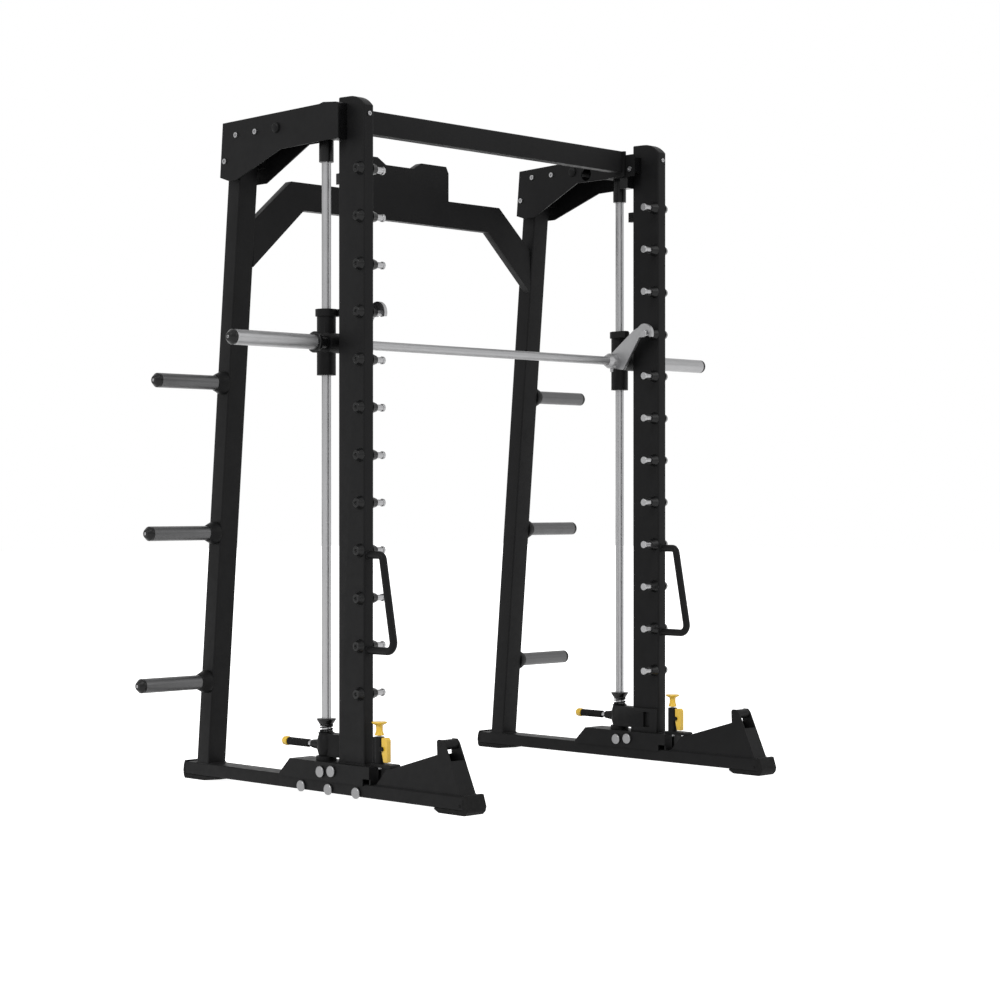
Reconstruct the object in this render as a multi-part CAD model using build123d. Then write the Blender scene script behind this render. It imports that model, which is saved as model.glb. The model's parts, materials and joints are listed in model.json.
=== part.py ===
from build123d import *
import math
import os

# A guided-bar training cage: two side frames joined by a front crossbeam and a rear brace, with
# a bar that slides on two upright rods, hooks over the pins of the front uprights and turns to
# let go of them. X runs across the cage, +Y to the rear and +Z up from the floor.
# While it is drawn, Y counts from a cross line near the rear faces of the front uprights; save()
# moves the origin to the middle of the footprint. Sizes are in millimetres. One side is drawn at
# +X and mirrored.

# ---- General
SIDE = 703                # middle plane of a side frame, from the middle of the cage
FIT = 0.05                # radial room of a shaft in its bore
SEAT = 0.3                # room between a moving piece and what it rests against
PAST = 1                  # how far a cut runs past the face that it opens
TUBE_ROUND = 5            # outer corner radius of the upright tubes and the crossbeam

# ---- Base rail and its rubber boots
RAIL_WIDTH = 80
RAIL_HEIGHT = 42
RAIL_WALL = 4
RAIL_ROUND = 4
RAIL_FRONT = -577
RAIL_REAR = 765
FOOT_HEIGHT = 15          # rubber below the rail
FRONT_PAD = 123           # rubber under the rail, from its front end
REAR_PAD = 182
FRONT_SLOPE = 20          # length of the pad's sloping end
REAR_SLOPE = 85
PAD_SLOPE = 10            # height of the sloping end
NOSE_LIP = 4              # the noses stand this far above the rail
NOSE_ROUND = 5
PLUG_DEPTH = 25
PLUG_ROOM = 0.3
RIVET = (14, 13, 5, 2)    # from the rail's end, above its lower face, radius, how far it stands out
RAIL_TOP = FOOT_HEIGHT + RAIL_HEIGHT
NOSE_TOP = RAIL_TOP + NOSE_LIP
# outlines of the noses, as distance past the rail's end and height
FRONT_NOSE = [(8, 0), (19, 10), (23, 24), (11, NOSE_TOP)]
REAR_NOSE = [(8, 0), (14, 10), (16, 26), (14, NOSE_TOP - 16), (7, NOSE_TOP)]

# ---- Saddle over the rail
SADDLE_WALL = 6
SADDLE_HEIGHT = 55        # top above the rail's top
SADDLE_SKIRT = 5          # how far it hangs over the rail's sides
SADDLE_FRONT = -168
SADDLE_REAR = 265
SADDLE_SLOPE = 51         # length and height of the sloping rear end
NOTCH = (30, 22)          # length and height of the notch at its lower front corner
SADDLE_TOP = RAIL_TOP + SADDLE_HEIGHT
SADDLE_BOLTS = [(60, RAIL_TOP + 24), (8, RAIL_TOP + 29)]
SADDLE_BOLT_HEAD = 18
SADDLE_BOLT_SHANK = 10
RAIL_DISCS = [160, 28, -104]
RAIL_DISC_RADIUS = 18
RAIL_DISC_HEIGHT = FOOT_HEIGHT + 12
RAIL_DISC_SHANK = 8
BIG_HEAD = 8              # thickness of the large round heads

# ---- Front upright
UPRIGHT_WIDTH = 40
UPRIGHT_DEPTH = 122.5
UPRIGHT_REAR = 5          # its rear face
UPRIGHT_WALL = 3
UPRIGHT_TOP = 2218
CROWN_FLAT = (53, 1.5)    # the crown's gentle rear stretch: its length and its fall
CROWN_FALL = 36           # how far the front end of the crown lies below its rear end
CROWN_ROUND = 4
CROWN_BOLT_DROP = 62
CROWN_BOLT_HEAD = 7
STOP_BLOCK = (18, 23, 238, 273)      # inboard reach, depth, upper and lower edge below the top
STOP_BLOCK_OUT = 10       # how far it lies outboard of the side frame's middle plane

# ---- Pins on the front uprights
PIN_COUNT = 12
PIN_FIRST = 335
PIN_PITCH = 150
PIN_SETBACK = 20.5        # centre behind the upright's front face
PIN_RADIUS = 10
PIN_REACH = 59            # free length inside the cage
PIN_HEAD_RADIUS = 12.5
PIN_HEAD = 8
PIN_END = 10              # how far it stands out of the upright's outer side
COLLAR_RADIUS = 22
COLLAR_TIP = 14
COLLAR_LENGTH = 18        # of the outer collars
INNER_COLLAR = 25         # length of the inner ones
COLLAR_RECESS = (6.5, 4)  # radius and depth of the hexagon in the outer collar

# ---- Rear upright and storage pegs
REAR_WIDTH = 75
REAR_DEPTH = 62.8
REAR_WALL = 3
REAR_FLOOR = 714.8        # its rear face, carried down to the floor
REAR_SHIFT = 189          # how far its rear face has come forward at its top
PEG_HEIGHTS = [333, 833, 1333]
PEG_RADIUS = 24
PEG_ROOT = 1              # how much thinner the tube is inside its collar
PEG_WALL = 4
PEG_LENGTH = 264
PEG_COLLAR_RADIUS = 31
PEG_COLLAR_LENGTH = 15
PEG_COLLAR_LIP = 2        # its thickness over the peg at the tip
CAP_LENGTH = 22
CAP_STRAIGHT = 9
CAP_TIP = 13
CAP_PLUG = 14
CAP_SCREW = 5
CAP_SCREW_DEPTH = 10

# ---- Top housing: two gusset plates, what joins them, and their bolts. Heights in this section
# and the next are distances below the front upright's top.
GUSSET_SPREAD = 62        # from the side frame's middle plane to a plate's outer face
PLATE = 5
OUTER_PLATE = [(538, 26), (552, 205), (506, 220), (468, 220), (242, 142), (-40, 136), (-40, 28),
               (-30, 22), (31, 16), (50, 20)]
INNER_PLATE = [(534, 43), (549, 209), (512, 221), (458, 221), (240, 115), (-38, 115), (-38, 37),
               (330, 36)]
PLATE_HOLE = (195, 87, 24)
ROOF_DROP = 42
ROOF = 5                  # thickness of the sheet between the plates
ROOF_REAR = 530
WEB = 12                  # thickness of the plate behind the front upright
WEB_DROP = 114            # its lower edge
ROD_SEAT = (60, 78, 112)  # length, upper and lower face of the block on the rod
SPACER = (452, 540, 53, 173)         # rear upright's spacers: front, rear, upper and lower edge
PAD_FRONT = -36
OUTER_PAD = (22, 138)
INNER_PAD = (47, 104)
INNER_PAD_FOOT = (-2, 35, 155)       # its lower part: front, rear and lower edge
PLATE_BOLTS = [(467, 72), (368, 72), (526, 153)]
PLATE_BOLT_HEAD = 9
PIVOT_BOLT = (262, 71)
PIVOT_BOLT_HEAD = 17
PIVOT_BOLT_DOME = 10
TUBE_BOLTS = [PLATE_BOLTS[1], PIVOT_BOLT]
CROSS_TUBE = 13           # radius of the tubes on these bolts, between the plates
PAD_BOLT = (-18, 89)
BOLT_SHANK = 5
BOLT_HEAD_LENGTH = 5
BOLT_GRIP = 12            # shank length below a head

# ---- Crossbeam and rear brace
BEAM_FRONT = 10
BEAM_DEPTH = 40
BEAM_TOP = 23
BEAM_HEIGHT = 76
BEAM_WALL = 3
FLANGE = 10
FLANGE_OUTLINE = (0, 80, 114, 24)
FLANGE_BOLTS = [(65, 78), (65, 57)]
BRACE_FRONT = 500
BRACE_DEPTH = 32
BRACE_WALL = 4
# right half of the brace's outline, from the middle of its upper edge, ends at the rear upright
BRACE_HALF = [(0, 94), (66, 94), (105, 71), (228, 71), (240, 94), (240, 195), (500, 195),
              (None, 343), (None, 498), (444, 290), (0, 288)]
BRACE_BOLTS = [305, 509]

# ---- Guide rod, buffer and the rod's clamp
ROD_RADIUS = 15
ROD_Y = 86
ROD_LOW = SADDLE_TOP + 23
ROD_END = 4               # the rod's upper end below the upper face of its seat
BUSH_RADIUS = 23.5
BUSH_DROP = 195           # the bush's lower end below the front upright's top
CLAMP_WIDTH = 60
CLAMP_TOP = SADDLE_TOP + 86
CLAMP_UNDERCUT = 14       # height of the wider foot below the clamp's rod end
CLAMP_FOOT = 33
CLAMP_SHOULDER = 22       # height of the cones at the clamp's upper and lower end
CLAMP_MOUTH = 24          # their smaller radius
CLAMP_FRONT = -114
CLAMP_NECK = 30           # width of the block between the rod and the upright
CLAMP_SLOT = (-83, -54, SADDLE_TOP + 19, SADDLE_TOP + 73)
SPRING_SEAT_RADIUS = 26
SPRING_SEAT = 3
SPRING_WIRE = 2.5
SPRING_RADIUS = 19.5
SPRING_TURNS = 2.5
SPRING_LENGTH = 26
CUP_FOOT = 22
CUP_RADIUS = 31
CUP_HEIGHT = 14
CUP_RIM = 4

# ---- Pull pin behind the clamp
PULL_HEIGHT = SADDLE_TOP + 48
PULL_BARREL_LENGTH = 65   # from the rod's axis
PULL_BARREL = (21, 13)    # radius at the clamp and at its free end
PULL_STEM = 6
PULL_TIP_GAP = 1          # room between the pin's tip and the rod
PULL_NECK = 9
PULL_NECK_LENGTH = 16
GRIP_RADIUS = 13
GRIP_LENGTH = 103
GRIP_BORE = 82            # how deep the pin sits in the grip
GRIP_GROOVES = 5
GRIP_GROOVE = (4, 1)      # width and depth
PULL_CAP_RADIUS = 15.5
PULL_CAP_LENGTH = 23
PULL_CAP_STRAIGHT = 18
PULL_CAP_TIP = 12

# ---- Latch in front of the upright
LATCH_Y = -166
LATCH_PLATE = (-150, -240, 44, 10)   # rear, front, width, height
LATCH_PLATE_ROUND = 8
LATCH_BARREL = 16
LATCH_BARREL_TOP = SADDLE_TOP + 93
LATCH_PIN = 6
LATCH_HOLE_ROOM = 0.2     # radial room for the pin in the saddle
LATCH_PIN_LOW = SADDLE_TOP - 8
KNOB_LOW = LATCH_BARREL_TOP + 4
KNOB_HEIGHT = 43
KNOB_FOOT = 15.5
KNOB_WAIST = 11
KNOB_TAPER = 14           # height of the cone above its foot
KNOB_RADIUS = 24
KNOB_RIM = 5
KNOB_FLARE = 7            # height of the flare under its rim
KNOB_BORE = 22
TAB_WIDTH = 16
TAB_PIVOT = (-188, SADDLE_TOP + 56)
TAB_PIN = 3
TAB_OUTLINE = [(3.5, 35), (3.5, -8), (-5, -41), (-22, -41), (-22, 28), (-15, 36)]   # from its pivot
TAB_EAR = 5.5
TAB_EAR_REACH = 7

# ---- Dock bracket on the front of the rail. Its heights are distances above the rail's top.
DOCK_WIDTH = 66
DOCK_WALL = 6
DOCK_OUTLINE = [(-185, 0), (-235, 55), (-250, 55), (-461, 117), (-459, 157), (-464, 163),
                (-482, 163), (-492, 153), (-562, 0)]
DOCK_WINDOW = 100         # lower edge of the window in its front
DOCK_BAR = (-477, 147)
DOCK_BAR_RADIUS = 15.5
DOCK_BOLT = 5

# ---- Grab handle
HANDLE_RADIUS = 12.5
HANDLE_WALL = 2.5
HANDLE_BENDS = [18, 28]
HANDLE_POINTS = [(0, 771.5), (-62.5, 771.5), (-119, 472.5), (0, 472.5)]   # Y from the upright

# ---- Bar, carriages, hooks and sleeves
HOOK_PIN_INDEX = 8        # the pin that the hook is parked on, counted from 0
HOOK_RISE = 92            # from the bar up to that pin
BAR_RADIUS = 15
BAR_Y = 50
BAR_HEIGHT = PIN_FIRST + PIN_PITCH * HOOK_PIN_INDEX - HOOK_RISE
BAR_END_ROOM = 1.2        # between the bar's end and the cap's plug
CARRIAGE_RADIUS = 30.5
CARRIAGE_BELOW = 101      # from the bar down to the carriage's lower end
CARRIAGE_ABOVE = 110
CARRIAGE_FLANGE = 23      # height of its wider upper end
CARRIAGE_FLANGE_RADIUS = 35.5
LUG_WIDTH = 20
LUG_FRONT = 25
HOUSING_RADIUS = 32
HOUSING_WIDTH = 68
ROD_ROOM = 1              # radial room round the rod between the bushes
LINEAR_BUSH = 22.5
LINEAR_BUSH_LENGTH = 64
LINEAR_BUSH_INSET = 4
BAR_BUSH = 18.5
HOOK_PLATE = 12
HOOK_GAP = 2              # between the pin's head and the hook
HOOK_HEAD = 36
HOOK_HEAD_OFFSET = 6      # the head's centre behind the pin
HOOK_NOSE = 12            # how far the nose reaches below the pin's centre
HOOK_BEND = (57, 13)      # corner in the arm's upper edge, behind and above the pin
HOOK_THROAT = 29          # where the arm's lower edge starts, behind the pin
HOOK_HEEL = (16, 22)      # the arm's rear end, behind and below the bar
HOOK_TOE = (42, 6)        # corner in the arm's lower edge, before the bar and below the boss
HOOK_MOUTH_ARC = 25       # degrees of arc cleared for the pin
HOOK_BOSS = 27
HOOK_BOSS_TIP = 19
HOOK_BOSS_LENGTH = 78
HOOK_BOSS_CONE = 16
HOOK_SCREW = 6
HOOK_SCREW_HEAD = 12      # length that stands out of the boss
SLEEVE_RADIUS = 24
SLEEVE_LENGTH = 321
STOP_GAP = 38             # from the carriage to the stop disc
STOP_RADIUS = 34
STOP_LENGTH = 12
STOP_HUB = (22, 1)        # radius of the hub that fills this gap, and its room at the carriage
SCREW_PROUD = 2

# ---- Worked out from the sizes above
OUT = SIDE + RAIL_WIDTH / 2           # outer side of the rail
IN = SIDE - RAIL_WIDTH / 2
UPRIGHT_FRONT = UPRIGHT_REAR - UPRIGHT_DEPTH
PIN_Y = UPRIGHT_FRONT + PIN_SETBACK
UPRIGHT_IN = SIDE - UPRIGHT_WIDTH / 2
UPRIGHT_OUT = SIDE + UPRIGHT_WIDTH / 2
PIN_TIP = UPRIGHT_IN - PIN_REACH
REAR_IN = SIDE - REAR_WIDTH / 2
REAR_OUT = SIDE + REAR_WIDTH / 2
REAR_TOP = UPRIGHT_TOP - ROOF_DROP - ROOF
GUSSET_IN = SIDE - GUSSET_SPREAD
GUSSET_OUT = SIDE + GUSSET_SPREAD
CHANNEL_IN = GUSSET_IN + PLATE        # the plates' faces towards each other
CHANNEL_OUT = GUSSET_OUT - PLATE
SEAT_TOP = UPRIGHT_TOP - ROD_SEAT[1]
SEAT_LOW = UPRIGHT_TOP - ROD_SEAT[2]
SPRING_LOW = CLAMP_TOP + SPRING_SEAT
CUP_LOW = SPRING_LOW + SPRING_LENGTH + SEAT
SADDLE_IN = IN - SADDLE_WALL
SADDLE_OUT = OUT + SADDLE_WALL
HOUSING_IN = SIDE - HOUSING_WIDTH / 2
HOUSING_OUT = SIDE + HOUSING_WIDTH / 2
CARRIAGE_LOW = BAR_HEIGHT - CARRIAGE_BELOW
CARRIAGE_TOP = BAR_HEIGHT + CARRIAGE_ABOVE
SLEEVE_START = HOUSING_OUT + STOP_GAP + STOP_LENGTH
SLEEVE_END = SLEEVE_START + SLEEVE_LENGTH
BAR_END = SLEEVE_END - CAP_PLUG - BAR_END_ROOM
HOOK_IN = PIN_TIP + PIN_HEAD + HOOK_GAP
CENTRE_Y = (RAIL_FRONT - max(FRONT_NOSE, key=lambda spot: spot[0])[0]
            + RAIL_REAR + max(REAR_NOSE, key=lambda spot: spot[0])[0]) / 2
UP = (Align.CENTER, Align.CENTER, Align.MIN)


def box(x0, x1, y0, y1, z0, z1):
    """A block between two values on each axis."""
    return Pos(x0, y0, z0) * Box(x1 - x0, y1 - y0, z1 - z0, align=(Align.MIN,) * 3)


def round_bar(length, radius, tip):
    """A round bar or cone standing on the origin."""
    if tip is None or tip == radius:
        return Cylinder(radius, length, align=UP)
    return Cone(radius, tip, length, align=UP)


def along_x(x0, x1, y, z, radius, tip=None):
    return Pos(x0, y, z) * Rot(0, 90, 0) * round_bar(x1 - x0, radius, tip)


def along_y(y0, y1, x, z, radius, tip=None):
    return Pos(x, y0, z) * Rot(-90, 0, 0) * round_bar(y1 - y0, radius, tip)


def along_z(z0, z1, x, y, radius, tip=None):
    return Pos(x, y, z0) * round_bar(z1 - z0, radius, tip)


def side_plate(points, x0, x1):
    """An outline of (Y, Z) points, given thickness from x0 to x1."""
    outline = Plane.YZ.offset(x0) * Polygon(*points, align=None)
    return extrude(outline, x1 - x0, dir=(1, 0, 0))


def below_top(points):
    """(Y, Z) points from (Y, distance below the front upright's top)."""
    return [(y, UPRIGHT_TOP - drop) for y, drop in points]


def folded(points, x0, x1, wall):
    """A cover with the outline's shape from the side, hollow and open below."""
    low = min(z for y, z in points)
    deeper = [(y, z - 2 * wall if z == low else z) for y, z in points]
    hollow = offset(Polygon(*deeper, align=None), -wall, kind=Kind.INTERSECTION)
    cavity = extrude(Plane.YZ.offset(x0 + wall) * hollow, x1 - x0 - 2 * wall, dir=(1, 0, 0))
    return side_plate(points, x0, x1) - cavity


def ring_z(z0, z1, x, y, bore, radius):
    return along_z(z0, z1, x, y, radius) - along_z(z0, z1, x, y, bore)


def ring_x(x0, x1, y, z, bore, radius):
    return along_x(x0, x1, y, z, radius) - along_x(x0, x1, y, z, bore)


# ---------------------------------------------------------------- base

def base_rail():
    """The long floor tube of a side frame."""
    section = Pos(SIDE, FOOT_HEIGHT + RAIL_HEIGHT / 2) * RectangleRounded(RAIL_WIDTH, RAIL_HEIGHT,
                                                                         RAIL_ROUND)
    tube = extrude(Plane.XZ.offset(-RAIL_REAR) * section, RAIL_REAR - RAIL_FRONT)
    inside = RAIL_WALL
    tube -= box(IN + inside, OUT - inside, RAIL_FRONT, RAIL_REAR,
                FOOT_HEIGHT + inside, RAIL_TOP - inside)
    for y in RAIL_DISCS:
        tube -= along_x(OUT - RAIL_WALL, OUT, y, RAIL_DISC_HEIGHT, RAIL_DISC_SHANK + FIT)
    return [tube]


def rail_boot(end, way, nose, pad, slope):
    """A rubber foot on the rail's end at Y = end, which looks along Y in the direction way."""
    low = (end, 0)
    boot = side_plate([low] + [(end + way * past, z) for past, z in nose] + [(end, NOSE_TOP)],
                      IN, OUT)
    corners = [edge for edge in boot.edges().filter_by(Axis.X) if abs(edge.center().Y - end) > PAST]
    boot = fillet(corners, NOSE_ROUND)
    pad_end = end - way * pad
    boot += side_plate([low, (pad_end + way * slope, 0), (pad_end, PAD_SLOPE),
                        (pad_end, FOOT_HEIGHT), (end, FOOT_HEIGHT)], IN, OUT)
    gap = RAIL_WALL + PLUG_ROOM
    y0, y1 = sorted((end, end - way * PLUG_DEPTH))
    boot += box(IN + gap, OUT - gap, y0, y1, FOOT_HEIGHT + gap, RAIL_TOP - gap)
    return boot


def rail_boots():
    """The boots on both ends of the rail, and the rivets that hold the front one."""
    back, up, radius, proud = RIVET
    y = RAIL_FRONT + back
    z = FOOT_HEIGHT + up
    return [rail_boot(RAIL_FRONT, -1, FRONT_NOSE, FRONT_PAD, FRONT_SLOPE),
            rail_boot(RAIL_REAR, 1, REAR_NOSE, REAR_PAD, REAR_SLOPE),
            along_x(OUT, OUT + proud, y, z, radius), along_x(IN - proud, IN, y, z, radius)]


def saddle():
    """The folded cover that straddles the rail and carries the front upright."""
    low = RAIL_TOP - SADDLE_SKIRT
    outline = [(SADDLE_FRONT, low), (SADDLE_FRONT, SADDLE_TOP),
               (SADDLE_REAR - SADDLE_SLOPE, SADDLE_TOP), (SADDLE_REAR, RAIL_TOP + SADDLE_SKIRT),
               (SADDLE_REAR, low)]
    body = folded(outline, SADDLE_IN, SADDLE_OUT, SADDLE_WALL)
    # the ends stop at the rail's top, between its sides
    body -= box(IN, OUT, SADDLE_FRONT - PAST, SADDLE_REAR + PAST, low - PAST, RAIL_TOP)
    for x in (SADDLE_IN, OUT):
        body -= box(x, x + SADDLE_WALL, SADDLE_FRONT - PAST, SADDLE_FRONT + NOTCH[0],
                    low - PAST, low + NOTCH[1])
    for y, z in SADDLE_BOLTS:
        body -= along_x(SADDLE_IN, SADDLE_OUT, y, z, SADDLE_BOLT_SHANK + FIT)
    body -= along_z(RAIL_TOP, SADDLE_TOP, SIDE, LATCH_Y, LATCH_PIN + LATCH_HOLE_ROOM)
    return [body]


def base_bolts():
    """Round-headed bolts through the saddle, and the discs on the rail."""
    pieces = []
    for y, z in SADDLE_BOLTS:
        bolt = along_x(SADDLE_IN, SADDLE_OUT, y, z, SADDLE_BOLT_SHANK)
        bolt += along_x(SADDLE_OUT, SADDLE_OUT + BIG_HEAD, y, z, SADDLE_BOLT_HEAD)
        bolt += along_x(SADDLE_IN - BIG_HEAD, SADDLE_IN, y, z, SADDLE_BOLT_HEAD)
        pieces.append(bolt)
    for y in RAIL_DISCS:
        disc = along_x(OUT, OUT + BIG_HEAD, y, RAIL_DISC_HEIGHT, RAIL_DISC_RADIUS)
        disc += along_x(OUT - 2 * RAIL_WALL, OUT, y, RAIL_DISC_HEIGHT, RAIL_DISC_SHANK)
        pieces.append(disc)
    return pieces


def dock_points():
    return [(y, RAIL_TOP + up) for y, up in DOCK_OUTLINE]


def dock_bar_place():
    return (DOCK_BAR[0], RAIL_TOP + DOCK_BAR[1])


def dock_bracket():
    """The sloping box on the rail's front end, with two ears that hold a cross bar."""
    x0 = SIDE - DOCK_WIDTH / 2
    x1 = SIDE + DOCK_WIDTH / 2
    outline = dock_points()
    body = folded(outline, x0, x1, DOCK_WALL)
    y_front = outline[-1][0]
    top = max(z for y, z in outline)
    post_rear = max(y for y, z in outline[3:])
    body -= box(x0 + DOCK_WALL, x1 - DOCK_WALL, y_front, post_rear, RAIL_TOP + DOCK_WINDOW, top)
    body -= along_x(x0, x1, *dock_bar_place(), DOCK_BOLT + FIT)
    return [body]


def dock_bars():
    """The fixed round bar between the ears, on its bolt."""
    x0 = SIDE - DOCK_WIDTH / 2
    x1 = SIDE + DOCK_WIDTH / 2
    cross_bar = along_x(x0 + DOCK_WALL, x1 - DOCK_WALL, *dock_bar_place(), DOCK_BAR_RADIUS)
    cross_bar += along_x(x0, x1, *dock_bar_place(), DOCK_BOLT)
    return [cross_bar]


# ---------------------------------------------------------------- uprights

def pin_heights():
    return [PIN_FIRST + PIN_PITCH * i for i in range(PIN_COUNT)]


def front_post(inset):
    """The front post as a solid, drawn in from its faces by inset on every side."""
    plan = RectangleRounded(UPRIGHT_WIDTH - 2 * inset, UPRIGHT_DEPTH - 2 * inset,
                            TUBE_ROUND - inset)
    middle = (UPRIGHT_FRONT + UPRIGHT_REAR) / 2
    post = extrude(Pos(SIDE, middle, SADDLE_TOP) * plan, UPRIGHT_TOP - SADDLE_TOP)
    length, fall = CROWN_FLAT
    top = UPRIGHT_TOP - 2 * inset
    rear = (UPRIGHT_REAR, top)
    knee = (UPRIGHT_REAR - length, top - fall)
    front = (UPRIGHT_FRONT, top - CROWN_FALL)
    crown = [Line(rear, knee), TangentArc(knee, front, tangent=(-length, -fall))]
    rest = Polyline(front, (UPRIGHT_FRONT, SADDLE_TOP), (UPRIGHT_REAR, SADDLE_TOP), rear)
    below = Plane.YZ.offset(UPRIGHT_IN) * Face(Wire(crown + list(rest.edges())))
    return post & extrude(below, UPRIGHT_WIDTH, dir=(1, 0, 0))


def front_upright():
    """The front post, closed by a crown that falls towards the front."""
    post = front_post(0)
    lowest = UPRIGHT_TOP - CROWN_FALL - PAST
    rim = [edge for edge in post.edges() if edge.bounding_box().min.Z > lowest]
    knee = UPRIGHT_REAR - CROWN_FLAT[0]
    rim = [edge for edge in rim if abs(edge.center().Y - knee) > PAST]
    post = fillet(rim, CROWN_ROUND) - front_post(UPRIGHT_WALL)
    for z in pin_heights():
        post -= along_x(UPRIGHT_IN, UPRIGHT_OUT, PIN_Y, z, PIN_RADIUS + FIT)
    post -= along_y(UPRIGHT_FRONT, UPRIGHT_FRONT + UPRIGHT_WALL, SIDE,
                    UPRIGHT_TOP - CROWN_BOLT_DROP, BOLT_SHANK + FIT)
    return [post]


def rack_pins():
    """The headed pins that the hooks park on."""
    pins = []
    for z in pin_heights():
        pin = along_x(PIN_TIP, UPRIGHT_OUT + PIN_END, PIN_Y, z, PIN_RADIUS)
        pins.append(pin + along_x(PIN_TIP, PIN_TIP + PIN_HEAD, PIN_Y, z, PIN_HEAD_RADIUS))
    return pins


def pin_collars():
    """The cones round each pin: an open one inside, and one outside that closes its end."""
    collars = []
    tip = UPRIGHT_OUT + COLLAR_LENGTH
    radius, depth = COLLAR_RECESS
    for z in pin_heights():
        inner = along_x(UPRIGHT_IN - INNER_COLLAR, UPRIGHT_IN, PIN_Y, z, COLLAR_TIP, COLLAR_RADIUS)
        outer = along_x(UPRIGHT_OUT, tip, PIN_Y, z, COLLAR_RADIUS, COLLAR_TIP)
        bore = along_x(UPRIGHT_IN - INNER_COLLAR, UPRIGHT_OUT + PIN_END + SEAT, PIN_Y, z,
                       PIN_RADIUS + FIT)
        recess = Plane.YZ.offset(tip - depth) * Pos(PIN_Y, z) * RegularPolygon(radius, 6)
        collars += [inner - bore, outer - bore - extrude(recess, depth, dir=(1, 0, 0))]
    return collars


def rear_face(z):
    """Where the leaning rear upright's rear face is at height z."""
    return REAR_FLOOR - REAR_SHIFT * z / REAR_TOP


def leaning_post(z0, z1, inset):
    """The rear post between two heights, drawn in from its sides by inset."""
    plan = RectangleRounded(REAR_WIDTH - 2 * inset, REAR_DEPTH - 2 * inset, TUBE_ROUND - inset)
    rise = Vector(0, rear_face(z1) - rear_face(z0), z1 - z0)
    foot = Pos(SIDE, rear_face(z0) - REAR_DEPTH / 2, z0) * plan
    return extrude(foot, rise.length, dir=rise)


def brace_bolt_places():
    """Where the bolts behind the brace meet the rear upright's leaning rear face."""
    lean = math.degrees(math.atan2(REAR_SHIFT, REAR_TOP))
    heights = [UPRIGHT_TOP - drop for drop in BRACE_BOLTS]
    return [Pos(SIDE, rear_face(z), z) * Rot(-90 + lean, 0, 0) for z in heights]


def rear_upright():
    """The leaning rear post, closed at its top."""
    post = leaning_post(RAIL_TOP, REAR_TOP, 0)
    post -= leaning_post(RAIL_TOP, REAR_TOP - REAR_WALL, REAR_WALL)
    for place in brace_bolt_places():
        post -= place * Cylinder(BOLT_SHANK + FIT, 2 * BOLT_GRIP)
    return [post]


def peg_places():
    """Middle of each storage peg's foot on the rear upright, as (Y, Z)."""
    return [(rear_face(z) - REAR_DEPTH / 2, z) for z in PEG_HEIGHTS]


def storage_pegs():
    """Plate storage tubes that stand out from the rear upright, thinner inside their collars."""
    pegs = []
    for y, z in peg_places():
        shoulder = REAR_OUT + PEG_COLLAR_LENGTH
        bore = PEG_RADIUS - PEG_WALL
        pegs.append(ring_x(REAR_OUT, shoulder, y, z, bore, PEG_RADIUS - PEG_ROOT)
                    + ring_x(shoulder, REAR_OUT + PEG_LENGTH, y, z, bore, PEG_RADIUS))
    return pegs


def end_cap(x, y, z, radius, plug):
    """A cap with a chamfered nose on the end of a tube at x, and a hole for its screw."""
    cap = along_x(x, x + CAP_STRAIGHT, y, z, radius)
    cap += along_x(x + CAP_STRAIGHT, x + CAP_LENGTH, y, z, radius, CAP_TIP)
    cap += along_x(x - CAP_PLUG, x, y, z, plug)
    return cap - along_x(x + CAP_LENGTH - CAP_SCREW_DEPTH, x + CAP_LENGTH, y, z, CAP_SCREW + FIT)


def cap_screw(x, y, z):
    """The screw in an end cap whose tube ends at x."""
    tip = x + CAP_LENGTH
    return along_x(tip - CAP_SCREW_DEPTH, tip + SCREW_PROUD, y, z, CAP_SCREW)


def peg_ends():
    """The collar at each storage peg's foot and the cap on its tip."""
    pieces = []
    for y, z in peg_places():
        collar = along_x(REAR_OUT, REAR_OUT + PEG_COLLAR_LENGTH, y, z, PEG_COLLAR_RADIUS,
                         PEG_RADIUS + PEG_COLLAR_LIP)
        collar -= along_x(REAR_OUT, REAR_OUT + PEG_COLLAR_LENGTH, y, z, PEG_RADIUS - PEG_ROOT + FIT)
        tip = REAR_OUT + PEG_LENGTH
        pieces += [collar, end_cap(tip, y, z, PEG_RADIUS, PEG_RADIUS - PEG_WALL - FIT)]
    return pieces


# ---------------------------------------------------------------- top

def top_plates():
    """The two gusset plates of a side frame."""
    outer = side_plate(below_top(OUTER_PLATE), CHANNEL_OUT, GUSSET_OUT)
    inner = side_plate(below_top(INNER_PLATE), GUSSET_IN, CHANNEL_IN)
    for y, z in below_top(PLATE_BOLTS + [PIVOT_BOLT]):
        outer -= along_x(CHANNEL_OUT, GUSSET_OUT, y, z, BOLT_SHANK + FIT)
        inner -= along_x(GUSSET_IN, CHANNEL_IN, y, z, BOLT_SHANK + FIT)
    for y, z in below_top(FLANGE_BOLTS + [PAD_BOLT]):
        inner -= along_x(GUSSET_IN, CHANNEL_IN, y, z, BOLT_SHANK + FIT)
    y, drop, radius = PLATE_HOLE
    inner -= along_x(GUSSET_IN, CHANNEL_IN, y, UPRIGHT_TOP - drop, radius)
    return [outer, inner]


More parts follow.
